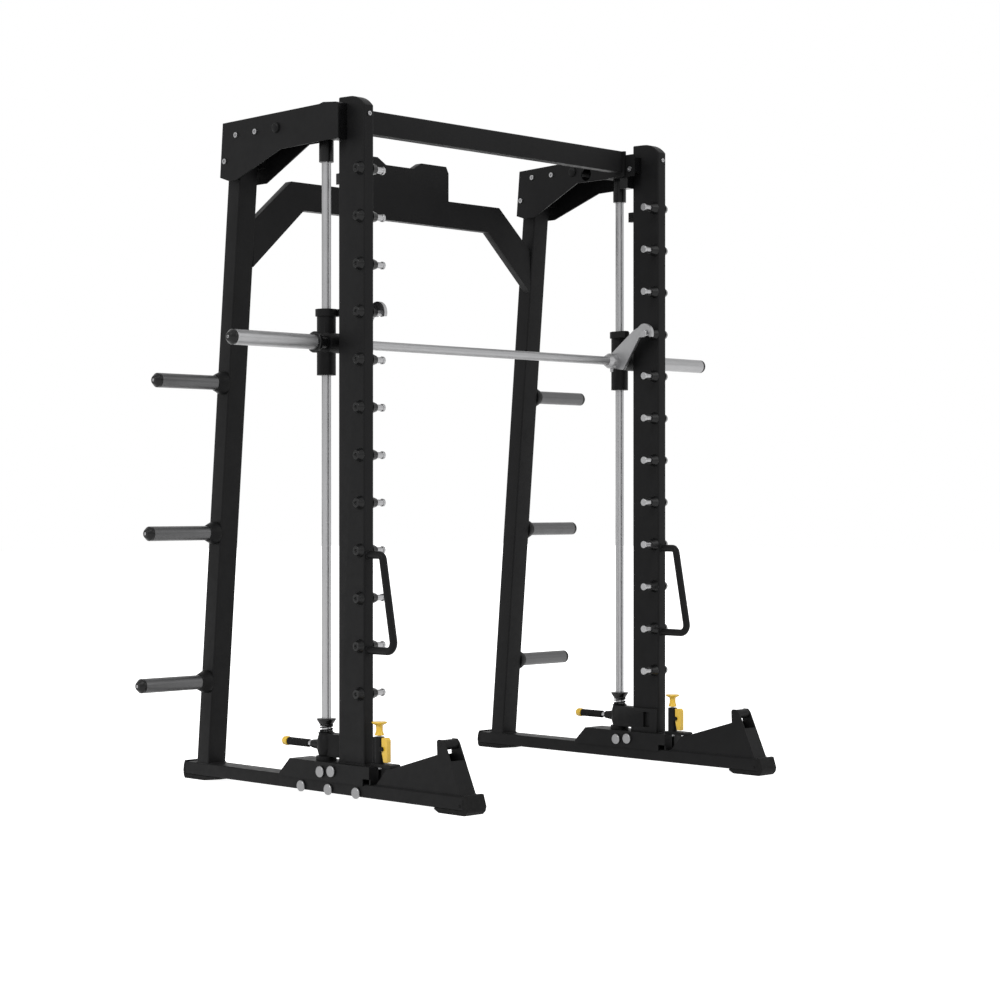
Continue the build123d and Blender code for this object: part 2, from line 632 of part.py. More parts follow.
def top_webs():
    """What joins the gusset plates: a roof with a web, the rod's seat, spacers and cross tubes."""
    roof_top = UPRIGHT_TOP - ROOF_DROP
    roof = box(CHANNEL_IN, CHANNEL_OUT, UPRIGHT_REAR, ROOF_REAR, roof_top - ROOF, roof_top)
    roof += box(CHANNEL_IN, CHANNEL_OUT, UPRIGHT_REAR, UPRIGHT_REAR + WEB,
                UPRIGHT_TOP - WEB_DROP, roof_top)
    half = ROD_SEAT[0] / 2
    seat = box(CHANNEL_IN, CHANNEL_OUT, ROD_Y - half, ROD_Y + half, SEAT_LOW, SEAT_TOP)
    seat -= along_z(SEAT_LOW, SEAT_TOP, SIDE, ROD_Y, ROD_RADIUS + FIT)
    for y, z in below_top(FLANGE_BOLTS):
        seat -= along_x(CHANNEL_IN, CHANNEL_IN + BOLT_GRIP, y, z, BOLT_SHANK + FIT)
    pieces = [roof, seat]
    front, rear, high, low = SPACER
    for x0, x1 in ((CHANNEL_IN, REAR_IN), (REAR_OUT, CHANNEL_OUT)):
        spacer = box(x0, x1, front, rear, UPRIGHT_TOP - low, UPRIGHT_TOP - high)
        for y, z in below_top(PLATE_BOLTS):
            spacer -= along_x(x0, x1, y, z, BOLT_SHANK + FIT)
        pieces.append(spacer)
    pieces += [ring_x(CHANNEL_IN, CHANNEL_OUT, y, z, BOLT_SHANK + FIT, CROSS_TUBE)
               for y, z in below_top(TUBE_BOLTS)]
    return pieces


def top_pads():
    """The blocks between the gusset plates and the front upright, and the carriage's stop."""
    high, low = OUTER_PAD
    outer = box(UPRIGHT_OUT, CHANNEL_OUT, PAD_FRONT, UPRIGHT_REAR,
                UPRIGHT_TOP - low, UPRIGHT_TOP - high)
    outer = fillet(outer.edges().filter_by(Axis.X), TUBE_ROUND)
    high, low = INNER_PAD
    foot_front, foot_rear, foot_low = INNER_PAD_FOOT
    web_low = UPRIGHT_TOP - WEB_DROP
    inner = box(CHANNEL_IN, UPRIGHT_IN, PAD_FRONT, UPRIGHT_REAR,
                UPRIGHT_TOP - low, UPRIGHT_TOP - high)
    inner += box(CHANNEL_IN, UPRIGHT_IN, foot_front, UPRIGHT_REAR,
                 UPRIGHT_TOP - foot_low, UPRIGHT_TOP - high)
    inner += box(CHANNEL_IN, UPRIGHT_IN, foot_front, foot_rear, UPRIGHT_TOP - foot_low, web_low)
    y, drop = PAD_BOLT
    inner -= along_x(CHANNEL_IN, UPRIGHT_IN, y, UPRIGHT_TOP - drop, BOLT_SHANK + FIT)
    reach, depth, high, low = STOP_BLOCK
    stop = box(SIDE - reach, SIDE + STOP_BLOCK_OUT, UPRIGHT_REAR, UPRIGHT_REAR + depth,
               UPRIGHT_TOP - low, UPRIGHT_TOP - high)
    return [outer, inner, stop]


def bolt_out(face, y, z, head):
    """A bolt whose head lies on the outer side of a face at X = face."""
    return (along_x(face, face + BOLT_HEAD_LENGTH, y, z, head)
            + along_x(face - BOLT_GRIP, face, y, z, BOLT_SHANK))


def bolt_in(face, y, z, head, grip=BOLT_GRIP):
    """A bolt whose head lies on the inner side of a face at X = face."""
    return (along_x(face - BOLT_HEAD_LENGTH, face, y, z, head)
            + along_x(face, face + grip, y, z, BOLT_SHANK))


def frame_bolts():
    """Bolts of the gusset plates, crossbeam flanges, brace and crown, and the pegs' screws."""
    bolts = []
    for y, z in below_top(PLATE_BOLTS):
        bolts.append(bolt_out(GUSSET_OUT, y, z, PLATE_BOLT_HEAD))
        bolts.append(bolt_in(GUSSET_IN, y, z, PLATE_BOLT_HEAD))
    for y, z in below_top(FLANGE_BOLTS):
        bolts.append(bolt_in(GUSSET_IN - FLANGE, y, z, PLATE_BOLT_HEAD, FLANGE + BOLT_GRIP))
    y, drop = PAD_BOLT
    bolts.append(bolt_in(GUSSET_IN, y, UPRIGHT_TOP - drop, PLATE_BOLT_HEAD))
    for place in brace_bolt_places():
        bolt = Cylinder(PLATE_BOLT_HEAD, BOLT_HEAD_LENGTH, align=UP)
        bolts.append(place * (bolt + Pos(0, 0, -BOLT_GRIP) * Cylinder(BOLT_SHANK, BOLT_GRIP, align=UP)))
    z = UPRIGHT_TOP - CROWN_BOLT_DROP
    bolts.append(along_y(UPRIGHT_FRONT - BOLT_HEAD_LENGTH, UPRIGHT_FRONT, SIDE, z, CROWN_BOLT_HEAD)
                 + along_y(UPRIGHT_FRONT, UPRIGHT_FRONT + UPRIGHT_WALL, SIDE, z, BOLT_SHANK))
    bolts += [cap_screw(REAR_OUT + PEG_LENGTH, y, z) for y, z in peg_places()]
    return bolts


def pivot_bolts():
    """The large domed bolts of the gusset plates, and the release tab's pivot pin."""
    y, drop = PIVOT_BOLT
    z = UPRIGHT_TOP - drop
    outer = bolt_out(GUSSET_OUT, y, z, PIVOT_BOLT_HEAD)
    face = GUSSET_OUT + BOLT_HEAD_LENGTH
    outer += along_x(face, face + BOLT_HEAD_LENGTH, y, z, PIVOT_BOLT_HEAD, PIVOT_BOLT_DOME)
    inner = bolt_in(GUSSET_IN, y, z, PIVOT_BOLT_HEAD)
    face = GUSSET_IN - BOLT_HEAD_LENGTH
    inner += along_x(face - BOLT_HEAD_LENGTH, face, y, z, PIVOT_BOLT_DOME, PIVOT_BOLT_HEAD)
    half = TAB_WIDTH / 2 + SEAT + TAB_EAR
    return [outer, inner, along_x(SIDE - half, SIDE + half, *TAB_PIVOT, TAB_PIN)]


def crossbeam():
    """The beam between the side frames, with a bolted flange at each end."""
    y0, y1, low, high = FLANGE_OUTLINE
    centre = Pos(BEAM_FRONT + BEAM_DEPTH / 2, UPRIGHT_TOP - BEAM_TOP - BEAM_HEIGHT / 2)
    wall = 2 * BEAM_WALL
    plane = Plane.YZ.offset(-GUSSET_IN)
    beam = extrude(plane * centre * RectangleRounded(BEAM_DEPTH, BEAM_HEIGHT, TUBE_ROUND),
                   2 * GUSSET_IN)
    for side in (-1, 1):
        x0, x1 = sorted((side * (GUSSET_IN - FLANGE), side * GUSSET_IN))
        beam += box(x0, x1, y0, y1, UPRIGHT_TOP - low, UPRIGHT_TOP - high)
        for y, z in below_top(FLANGE_BOLTS):
            beam -= along_x(x0, x1, y, z, BOLT_SHANK + FIT)
    inside = RectangleRounded(BEAM_DEPTH - wall, BEAM_HEIGHT - wall, TUBE_ROUND - BEAM_WALL)
    return [beam - extrude(plane * centre * inside, 2 * GUSSET_IN)]


def rear_brace():
    """The folded sheet between the rear uprights, open at the back."""
    right = [(REAR_IN if x is None else x, UPRIGHT_TOP - drop) for x, drop in BRACE_HALF]
    left = [(-x, z) for x, z in reversed(right) if x]
    outline = Polygon(*(right + left), align=None)
    rear = BRACE_FRONT + BRACE_DEPTH
    sheet = extrude(Plane.XZ.offset(-rear) * outline, BRACE_DEPTH, dir=(0, -1, 0))
    inside = offset(outline, -BRACE_WALL, kind=Kind.INTERSECTION)
    sheet -= extrude(Plane.XZ.offset(-rear) * inside, BRACE_DEPTH - BRACE_WALL, dir=(0, -1, 0))
    return [sheet]


# ---------------------------------------------------------------- rod, clamp and buffer

def guide_rod():
    return [along_z(ROD_LOW, SEAT_TOP - ROD_END, SIDE, ROD_Y, ROD_RADIUS)]


def rod_bushes():
    """The collar round the rod's upper end, under its seat."""
    return [ring_z(UPRIGHT_TOP - BUSH_DROP, SEAT_LOW, SIDE, ROD_Y, ROD_RADIUS + FIT, BUSH_RADIUS)]


def foot_clamp():
    """The block that grips the rod's foot, and its cheek on the upright's inner side."""
    half = CLAMP_WIDTH / 2
    low = SADDLE_TOP + CLAMP_UNDERCUT
    y0, y1, z0, z1 = CLAMP_SLOT
    belly = low + CLAMP_SHOULDER
    shoulder = CLAMP_TOP - CLAMP_SHOULDER
    body = along_z(SADDLE_TOP, low, SIDE, ROD_Y, CLAMP_FOOT)
    body += along_z(low, belly, SIDE, ROD_Y, CLAMP_MOUTH, half)
    body += along_z(belly, shoulder, SIDE, ROD_Y, half)
    body += along_z(shoulder, CLAMP_TOP, SIDE, ROD_Y, half, CLAMP_MOUTH)
    body += along_z(CLAMP_TOP, SPRING_LOW, SIDE, ROD_Y, SPRING_SEAT_RADIUS)
    body += box(SIDE - half, SIDE + CLAMP_NECK / 2, UPRIGHT_REAR, ROD_Y, low, CLAMP_TOP)
    cheek = box(SIDE - half, UPRIGHT_IN, CLAMP_FRONT, UPRIGHT_REAR, SADDLE_TOP, CLAMP_TOP)
    body += cheek - box(SIDE - half, UPRIGHT_IN, y0, y1, z0, z1)
    barrel_end = ROD_Y + PULL_BARREL_LENGTH
    body += along_y(ROD_Y, barrel_end, SIDE, PULL_HEIGHT, *PULL_BARREL)
    body -= along_z(SADDLE_TOP, SPRING_LOW, SIDE, ROD_Y, ROD_RADIUS + FIT)
    body -= along_y(ROD_Y, barrel_end, SIDE, PULL_HEIGHT, PULL_STEM + FIT)
    return [body]


def buffer_spring():
    """The coil that cushions a bar set down on the rod's foot."""
    rise = SPRING_LENGTH - 2 * SPRING_WIRE
    coil = Helix(pitch=rise / SPRING_TURNS, height=rise, radius=SPRING_RADIUS)
    wire = sweep(Plane(origin=coil @ 0, z_dir=coil % 0) * Circle(SPRING_WIRE), coil, is_frenet=True)
    return [Pos(SIDE, ROD_Y, SPRING_LOW + SPRING_WIRE) * wire]


def buffer_cup():
    """The flared cup on top of the coil."""
    rim = CUP_LOW + CUP_HEIGHT
    cup = along_z(CUP_LOW, rim, SIDE, ROD_Y, CUP_FOOT, CUP_RADIUS)
    cup += along_z(rim, rim + CUP_RIM, SIDE, ROD_Y, CUP_RADIUS)
    return [cup - along_z(CUP_LOW, rim + CUP_RIM, SIDE, ROD_Y, ROD_RADIUS + FIT)]


def pull_pin():
    """The plunger behind the clamp, from the rod to the inside of its grip."""
    neck = ROD_Y + PULL_BARREL_LENGTH + SEAT
    tip = ROD_Y + ROD_RADIUS + PULL_TIP_GAP
    pin = along_y(tip, grip_start() + GRIP_BORE, SIDE, PULL_HEIGHT, PULL_STEM)
    pin += along_y(neck, neck + PULL_NECK_LENGTH, SIDE, PULL_HEIGHT, PULL_NECK)
    return [pin]


def grip_start():
    return ROD_Y + PULL_BARREL_LENGTH + SEAT + PULL_NECK_LENGTH


def pull_grip():
    """The pull pin's rubber grip, with shallow grooves."""
    y0 = grip_start()
    width, depth = GRIP_GROOVE
    grip = along_y(y0, y0 + GRIP_LENGTH, SIDE, PULL_HEIGHT, GRIP_RADIUS)
    for i in range(GRIP_GROOVES):
        start = y0 + GRIP_LENGTH * (i + 1) / (GRIP_GROOVES + 1) - width / 2
        groove = along_y(start, start + width, SIDE, PULL_HEIGHT, GRIP_RADIUS + depth)
        grip -= groove - along_y(start, start + width, SIDE, PULL_HEIGHT, GRIP_RADIUS - depth)
    return [grip - along_y(y0, y0 + GRIP_BORE + SEAT, SIDE, PULL_HEIGHT, PULL_STEM + FIT)]


def pull_cap():
    y0 = grip_start() + GRIP_LENGTH
    shoulder = y0 + PULL_CAP_STRAIGHT
    cap = along_y(y0, shoulder, SIDE, PULL_HEIGHT, PULL_CAP_RADIUS)
    cap += along_y(shoulder, y0 + PULL_CAP_LENGTH, SIDE, PULL_HEIGHT, PULL_CAP_RADIUS, PULL_CAP_TIP)
    return [cap]


# ---------------------------------------------------------------- latch

def latch_body():
    """The latch's barrel on its plate, with two ears for the tab."""
    rear, front, width, height = LATCH_PLATE
    body = box(SIDE - width / 2, SIDE + width / 2, front, rear, SADDLE_TOP, SADDLE_TOP + height)
    front_edge = body.edges().filter_by(Axis.X).sort_by(Axis.Y)[:2].sort_by(Axis.Z)[-1:]
    body = fillet(front_edge, LATCH_PLATE_ROUND)
    body += along_z(SADDLE_TOP, LATCH_BARREL_TOP, SIDE, LATCH_Y, LATCH_BARREL)
    half = TAB_WIDTH / 2 + SEAT
    y, z = TAB_PIVOT
    for x0 in (SIDE - half - TAB_EAR, SIDE + half):
        body += box(x0, x0 + TAB_EAR, y, LATCH_Y, z - TAB_EAR_REACH, z + TAB_EAR_REACH)
        body += along_x(x0, x0 + TAB_EAR, y, z, TAB_EAR_REACH)
    body -= along_x(SIDE - half - TAB_EAR, SIDE + half + TAB_EAR, y, z, TAB_PIN + FIT)
    body -= along_z(SADDLE_TOP, LATCH_BARREL_TOP, SIDE, LATCH_Y, LATCH_PIN + FIT)
    return [body]


def latch_pin():
    return [along_z(LATCH_PIN_LOW, KNOB_LOW + KNOB_BORE, SIDE, LATCH_Y, LATCH_PIN)]


def latch_knob():
    """The waisted knob on the latch pin, under a wide thin rim."""
    top = KNOB_LOW + KNOB_HEIGHT
    rim = top - KNOB_RIM
    flare = rim - KNOB_FLARE
    waist = KNOB_LOW + KNOB_TAPER
    knob = along_z(KNOB_LOW, waist, SIDE, LATCH_Y, KNOB_FOOT, KNOB_WAIST)
    knob += along_z(waist, flare, SIDE, LATCH_Y, KNOB_WAIST)
    knob += along_z(flare, rim, SIDE, LATCH_Y, KNOB_WAIST, KNOB_RADIUS)
    knob += along_z(rim, top, SIDE, LATCH_Y, KNOB_RADIUS)
    return [knob - along_z(KNOB_LOW, KNOB_LOW + KNOB_BORE, SIDE, LATCH_Y, LATCH_PIN + FIT)]


def release_tab():
    """The rocking tab in front of the latch's barrel."""
    y0, z0 = TAB_PIVOT
    tab = side_plate([(y0 + y, z0 + z) for y, z in TAB_OUTLINE],
                     SIDE - TAB_WIDTH / 2, SIDE + TAB_WIDTH / 2)
    return [tab - along_x(SIDE - TAB_WIDTH, SIDE + TAB_WIDTH, y0, z0, TAB_PIN + FIT)]


def grab_handle():
    """The bent tube on the front upright's front face."""
    points = [(UPRIGHT_FRONT + y, z) for y, z in HANDLE_POINTS]
    route = Plane.YZ.offset(SIDE) * FilletPolyline(*points, radius=HANDLE_BENDS)
    section = Circle(HANDLE_RADIUS) - Circle(HANDLE_RADIUS - HANDLE_WALL)
    return [sweep(Plane(origin=route @ 0, z_dir=route % 0) * section, route)]


# ---------------------------------------------------------------- bar

def carriage():
    """The block that slides on the rod and carries the bar's bearing."""
    flange = CARRIAGE_TOP - CARRIAGE_FLANGE
    body = along_z(CARRIAGE_LOW, flange, SIDE, ROD_Y, CARRIAGE_RADIUS)
    body += along_z(flange, CARRIAGE_TOP, SIDE, ROD_Y, CARRIAGE_FLANGE_RADIUS)
    body += box(UPRIGHT_IN - LUG_WIDTH, UPRIGHT_IN, LUG_FRONT, ROD_Y, flange, CARRIAGE_TOP)
    body += along_x(HOUSING_IN, HOUSING_OUT, BAR_Y, BAR_HEIGHT, HOUSING_RADIUS)
    body -= along_z(CARRIAGE_LOW, CARRIAGE_TOP, SIDE, ROD_Y, ROD_RADIUS + ROD_ROOM)
    for z in bush_lows():
        body -= along_z(z, z + LINEAR_BUSH_LENGTH, SIDE, ROD_Y, LINEAR_BUSH)
    body -= along_x(HOUSING_IN, HOUSING_OUT, BAR_Y, BAR_HEIGHT, BAR_BUSH)
    return [body]


def bush_lows():
    """Lower end of each linear bush."""
    return [CARRIAGE_LOW + LINEAR_BUSH_INSET,
            CARRIAGE_TOP - LINEAR_BUSH_INSET - LINEAR_BUSH_LENGTH]


def carriage_bushes():
    """The two bushes on the rod and the one round the bar."""
    bushes = [ring_z(z, z + LINEAR_BUSH_LENGTH, SIDE, ROD_Y, ROD_RADIUS + FIT, LINEAR_BUSH - FIT)
              for z in bush_lows()]
    bushes.append(ring_x(HOUSING_IN, HOUSING_OUT, BAR_Y, BAR_HEIGHT, BAR_RADIUS + FIT,
                         BAR_BUSH - FIT))
    return bushes


def bar():
    return [along_x(-BAR_END, BAR_END, BAR_Y, BAR_HEIGHT, BAR_RADIUS)]


def hook():
    """The arm that turns with the bar, its mouth an arc about the bar so it can swing clear."""
    pin_z = BAR_HEIGHT + HOOK_RISE
    reach = math.hypot(PIN_Y - BAR_Y, pin_z - BAR_HEIGHT)
    angle = math.degrees(math.atan2(pin_z - BAR_HEIGHT, PIN_Y - BAR_Y))
    head_y = PIN_Y + HOOK_HEAD_OFFSET
    nose_z = pin_z - HOOK_NOSE
    head = Pos(head_y, pin_z) * Circle(HOOK_HEAD)
    head -= Pos(head_y, nose_z - HOOK_HEAD) * Rectangle(2 * HOOK_HEAD, 2 * HOOK_HEAD)
    low = BAR_HEIGHT - HOOK_BOSS
    arm = Polygon((head_y, pin_z + HOOK_HEAD), (PIN_Y + HOOK_BEND[0], pin_z + HOOK_BEND[1]),
                  (BAR_Y + HOOK_HEEL[0], BAR_HEIGHT + HOOK_BOSS),
                  (BAR_Y + HOOK_HEEL[0], BAR_HEIGHT - HOOK_HEEL[1]), (BAR_Y, low),
                  (BAR_Y - HOOK_TOE[0], low - HOOK_TOE[1]), (PIN_Y + HOOK_THROAT, nose_z),
                  (head_y, nose_z), align=None)
    arm += Pos(BAR_Y, BAR_HEIGHT) * Circle(HOOK_BOSS)
    width = PIN_RADIUS + SEAT
    mouth = Circle(reach + width) - Circle(reach - width)
    far = 2 * reach
    wedge = Polygon((0, 0), *[(far * math.cos(math.radians(a)), far * math.sin(math.radians(a)))
                              for a in (angle, angle + HOOK_MOUTH_ARC)], align=None)
    mouth = Pos(BAR_Y, BAR_HEIGHT) * (mouth & wedge)
    mouth += Pos(PIN_Y, pin_z) * Circle(width)
    mouth += Pos(PIN_Y, pin_z - HOOK_NOSE) * Rectangle(2 * width, 2 * HOOK_NOSE)
    outline = Plane.YZ.offset(HOOK_IN) * (head + arm - mouth)
    plate = extrude(outline, HOOK_PLATE, dir=(1, 0, 0))
    end = HOUSING_IN - SEAT
    start = end - HOOK_BOSS_LENGTH
    cone = start + HOOK_BOSS_CONE
    plate += along_x(start, cone, BAR_Y, BAR_HEIGHT, HOOK_BOSS_TIP, HOOK_BOSS)
    plate += along_x(cone, end, BAR_Y, BAR_HEIGHT, HOOK_BOSS)
    plate -= along_x(start, end, BAR_Y, BAR_HEIGHT, BAR_RADIUS + FIT)
    screw_x = (cone + HOOK_IN) / 2
    tip = low - HOOK_SCREW_HEAD
    plate -= along_z(tip, BAR_HEIGHT, screw_x, BAR_Y, HOOK_SCREW + FIT)
    screw = along_z(tip, BAR_HEIGHT - BAR_RADIUS - SEAT, screw_x, BAR_Y, HOOK_SCREW)
    return [plate, screw]


def sleeve():
    """The sleeve that plates go on, and its end screw."""
    tube = ring_x(SLEEVE_START, SLEEVE_END, BAR_Y, BAR_HEIGHT, BAR_RADIUS + FIT, SLEEVE_RADIUS)
    return [tube, cap_screw(SLEEVE_END, BAR_Y, BAR_HEIGHT)]


def sleeve_ends():
    """The stop disc inside the plates with its hub, and the cap on the sleeve's end."""
    stop = ring_x(SLEEVE_START - STOP_LENGTH, SLEEVE_START, BAR_Y, BAR_HEIGHT, BAR_RADIUS + FIT,
                  STOP_RADIUS)
    hub, room = STOP_HUB
    stop += ring_x(HOUSING_OUT + room, SLEEVE_START - STOP_LENGTH, BAR_Y, BAR_HEIGHT,
                   BAR_RADIUS + FIT, hub)
    return [stop, end_cap(SLEEVE_END, BAR_Y, BAR_HEIGHT, SLEEVE_RADIUS, BAR_RADIUS)]


# ---------------------------------------------------------------- writing

def save(node, shapes):
    """Write one node, with the origin moved to the middle of the footprint."""
    solids = [solid for shape in shapes for solid in shape.solids()]
    export_step(Pos(0, -CENTRE_Y, 0) * Compound(solids), f"parts/{node}.step")


PAIRS = [base_rail, saddle, dock_bracket, front_upright, rear_upright, foot_clamp, guide_rod,
         top_plates, grab_handle, latch_body, latch_pin, latch_knob, release_tab, pull_pin,
         pull_grip, pull_cap, buffer_cup, buffer_spring, carriage, hook, sleeve, sleeve_ends]
GROUPS = [rail_boots, base_bolts, dock_bars, rack_pins, pin_collars, storage_pegs, peg_ends,
          top_webs, top_pads, frame_bolts, pivot_bolts, rod_bushes, carriage_bushes]
SINGLES = [crossbeam, rear_brace, bar]

os.makedirs("parts", exist_ok=True)
for piece in PAIRS:
    right = piece()
    save(f"{piece.__name__}_right", right)
    save(f"{piece.__name__}_left", [mirror(shape, Plane.YZ) for shape in right])
for piece in GROUPS:
    right = piece()
    save(piece.__name__, right + [mirror(shape, Plane.YZ) for shape in right])
for piece in SINGLES:
    save(piece.__name__, piece())
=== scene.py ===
import json
import math

import bmesh
import bpy
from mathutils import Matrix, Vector


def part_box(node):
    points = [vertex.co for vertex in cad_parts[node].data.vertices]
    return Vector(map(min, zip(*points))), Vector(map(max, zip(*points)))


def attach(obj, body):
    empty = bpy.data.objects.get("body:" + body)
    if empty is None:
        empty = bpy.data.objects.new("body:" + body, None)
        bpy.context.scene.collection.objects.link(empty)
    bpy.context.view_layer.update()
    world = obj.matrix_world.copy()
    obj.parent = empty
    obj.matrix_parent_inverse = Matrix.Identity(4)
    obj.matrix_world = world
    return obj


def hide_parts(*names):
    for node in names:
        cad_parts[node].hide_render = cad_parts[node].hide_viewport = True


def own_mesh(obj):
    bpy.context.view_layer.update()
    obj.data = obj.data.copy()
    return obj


# A guided-bar cage in black powder coat with steel rods, pins and bar. The CAD nodes give every
# place and size; the pieces made here round their edges and add the small details.

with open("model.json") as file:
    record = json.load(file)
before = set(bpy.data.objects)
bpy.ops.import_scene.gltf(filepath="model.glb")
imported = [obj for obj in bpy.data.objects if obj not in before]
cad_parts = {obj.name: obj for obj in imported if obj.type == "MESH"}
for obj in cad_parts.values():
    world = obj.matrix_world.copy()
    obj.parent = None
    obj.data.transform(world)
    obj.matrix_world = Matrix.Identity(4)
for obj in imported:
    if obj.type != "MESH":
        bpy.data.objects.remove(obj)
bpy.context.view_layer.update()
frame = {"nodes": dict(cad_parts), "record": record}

MM = 0.001
SIDES = {"left": -1, "right": 1}     # each side of the cage, and the sign of its X
NODE_BODY = {node: body for body, nodes in frame["record"]["behaviour"]["bodies"].items()
             for node in nodes}
NODE_SLOT = {part["node"]: part["material_slot"] for part in frame["record"]["subparts"]}

# ---- Camera
EYE = Vector((-5.5185, -5.5598, 0.9433))
HEADING = 45.25           # degrees from +Y towards +X, in a level line of sight
FOCAL = 82.53
SENSOR = 36
FAR_CLIP = 60


def make_camera():
    """The camera of the main view."""
    data = bpy.data.cameras.new("camera")
    data.lens = FOCAL
    data.sensor_width = SENSOR
    data.clip_end = FAR_CLIP
    camera = bpy.data.objects.new("camera", data)
    camera.location = EYE
    camera.rotation_euler = (math.radians(90), 0, math.radians(-HEADING))
    bpy.context.scene.collection.objects.link(camera)
    bpy.context.scene.camera = camera


# ---- Materials

class Shader:
    """A Principled material with short helpers for its nodes."""

    def __init__(self, name, color, rough, metallic=0.0, specular=0.5):
        self.material = bpy.data.materials.new(name)
        self.material.use_nodes = True
        self.tree = self.material.node_tree
        self.base = self.tree.nodes["Principled BSDF"]
        self.color = color
        self.base.inputs["Base Color"].default_value = (*color, 1)
        self.base.inputs["Roughness"].default_value = rough
        self.base.inputs["Metallic"].default_value = metallic
        self.base.inputs["Specular IOR Level"].default_value = specular

    def noise(self, scale, detail=4, stretch=(1, 1, 1)):
        """Noise in the object's own space, scale in features a metre."""
        place = self.tree.nodes.new("ShaderNodeTexCoord")
        mapping = self.tree.nodes.new("ShaderNodeMapping")
        mapping.inputs["Scale"].default_value = [scale * s for s in stretch]
        noise = self.tree.nodes.new("ShaderNodeTexNoise")
        noise.inputs["Scale"].default_value = 1
        noise.inputs["Detail"].default_value = detail
        self.tree.links.new(place.outputs["Object"], mapping.inputs["Vector"])
        self.tree.links.new(mapping.outputs["Vector"], noise.inputs["Vector"])
        return noise.outputs["Fac"]

    def spread(self, value, low, high, start=0.3, end=0.7):
        """Value between start and end, stretched to run from low to high."""
        node = self.tree.nodes.new("ShaderNodeMapRange")
        node.inputs["From Min"].default_value = start
        node.inputs["From Max"].default_value = end
        node.inputs["To Min"].default_value = low
        node.inputs["To Max"].default_value = high
        self.tree.links.new(value, node.inputs["Value"])
        return node.outputs["Result"]

    def tint(self, value, other):
        """Colour that runs from the base colour to other as value goes from 0 to 1."""
        mix = self.tree.nodes.new("ShaderNodeMix")
        mix.data_type = "RGBA"
        mix.inputs["A"].default_value = (*self.color, 1)
        mix.inputs["B"].default_value = (*other, 1)
        self.tree.links.new(value, mix.inputs["Factor"])
        self.tree.links.new(mix.outputs["Result"], self.base.inputs["Base Color"])

    def rough(self, value):
        """Roughness that follows value."""
        self.tree.links.new(value, self.base.inputs["Roughness"])

    def bump(self, height, strength, distance):
        """Small relief on the surface, at most distance deep, in metres."""
        node = self.tree.nodes.new("ShaderNodeBump")
        node.inputs["Strength"].default_value = strength
        node.inputs["Distance"].default_value = distance
        self.tree.links.new(height, node.inputs["Height"])
        self.tree.links.new(node.outputs["Normal"], self.base.inputs["Normal"])


def powder_coat():
    """Matt black paint with a fine grain."""
    s = Shader("powder_coat", (0.0065, 0.0065, 0.0068), 0.46, specular=0.1)
    s.tint(s.spread(s.noise(9), 0, 1), (0.009, 0.009, 0.0093))
    s.rough(s.spread(s.noise(40), 0.4, 0.54))
    s.bump(s.noise(900, 2), 0.2, 0.12 * MM)
    return s.material


def rubber():
    """Dull black rubber of the boots and grips."""
    s = Shader("rubber", (0.006, 0.006, 0.006), 0.72, specular=0.12)
    s.tint(s.spread(s.noise(60), 0, 1), (0.01, 0.01, 0.01))
    s.rough(s.spread(s.noise(150), 0.62, 0.8))
    s.bump(s.noise(1400, 3), 0.35, 0.2 * MM)
    return s.material


def black_plastic():
    """Black plastic that shines more than the paint."""
    s = Shader("black_plastic", (0.004, 0.004, 0.0043), 0.28, specular=0.22)
    s.tint(s.spread(s.noise(30), 0, 1), (0.006, 0.006, 0.0063))
    s.rough(s.spread(s.noise(90), 0.22, 0.34))
    s.bump(s.noise(2000, 2), 0.12, 0.1 * MM)
    return s.material


def drawn_steel(name, shade, rough, streak):
    """Metal with fine streaks. streak says along which axes they stretch."""
    s = Shader(name, (shade, shade, shade * 1.015), rough, metallic=1.0)
    lines = s.noise(900, 3, streak)
    s.tint(s.spread(lines, 0, 1), (shade * 0.9, shade * 0.9, shade * 0.915))
    s.rough(s.spread(s.noise(25), rough * 0.9, rough * 1.15))
    s.bump(lines, 0.01, 0.01 * MM)
    return s.material


def yellow_plastic():
    """Glossy yellow plastic of what a hand works."""
    s = Shader("yellow_plastic", (0.9, 0.59, 0.05), 0.22, specular=0.5)
    s.tint(s.spread(s.noise(45), 0, 1), (0.85, 0.53, 0.04))
    s.rough(s.spread(s.noise(120), 0.18, 0.28))
    s.bump(s.noise(1200, 2), 0.1, 0.1 * MM)
    return s.material


SLOT_MATERIAL = {
    "black_paint": powder_coat(),
    "rubber": rubber(),
    "black_plastic": black_plastic(),
    "chrome": drawn_steel("chrome", 0.35, 0.34, (1, 1, 0.01)),
    "satin_steel": drawn_steel("satin_steel", 0.33, 0.42, (0.01, 1, 1)),
    # grey_steel: dark grey steel; on the latch pins its darkness is painted shade, standing in for
    # the shadow inside the saddle's open front
    "grey_steel": drawn_steel("grey_steel", 0.11, 0.42, (0.01, 1, 1)),
    "bolt_steel": drawn_steel("bolt_steel", 0.36, 0.34, (1, 1, 1)),
    "bush_steel": drawn_steel("bush_steel", 0.34, 0.34, (1, 1, 1)),
    "yellow_plastic": yellow_plastic(),
}
# darker and rougher than the rods, which share their slot: the rougher surface is the bolts' own,
# the darker colour is painted shade that holds back the bright reflection these discs catch from
# the lamps and the white surroundings
OWN_MATERIAL = {"base_bolts": drawn_steel("zinc_painted_shade", 0.265, 0.4, (1, 1, 1))}


def material_of(node):
    """The node's own material, or its slot's."""
    return OWN_MATERIAL.get(node, SLOT_MATERIAL[NODE_SLOT[node]])


# ---- Pieces

def finish_mesh(mesh, angle=32):
    """Smooth shading that breaks at edges sharper than angle."""
    for face in mesh.polygons:
        face.use_smooth = True
    mesh.set_sharp_from_angle(angle=math.radians(angle))


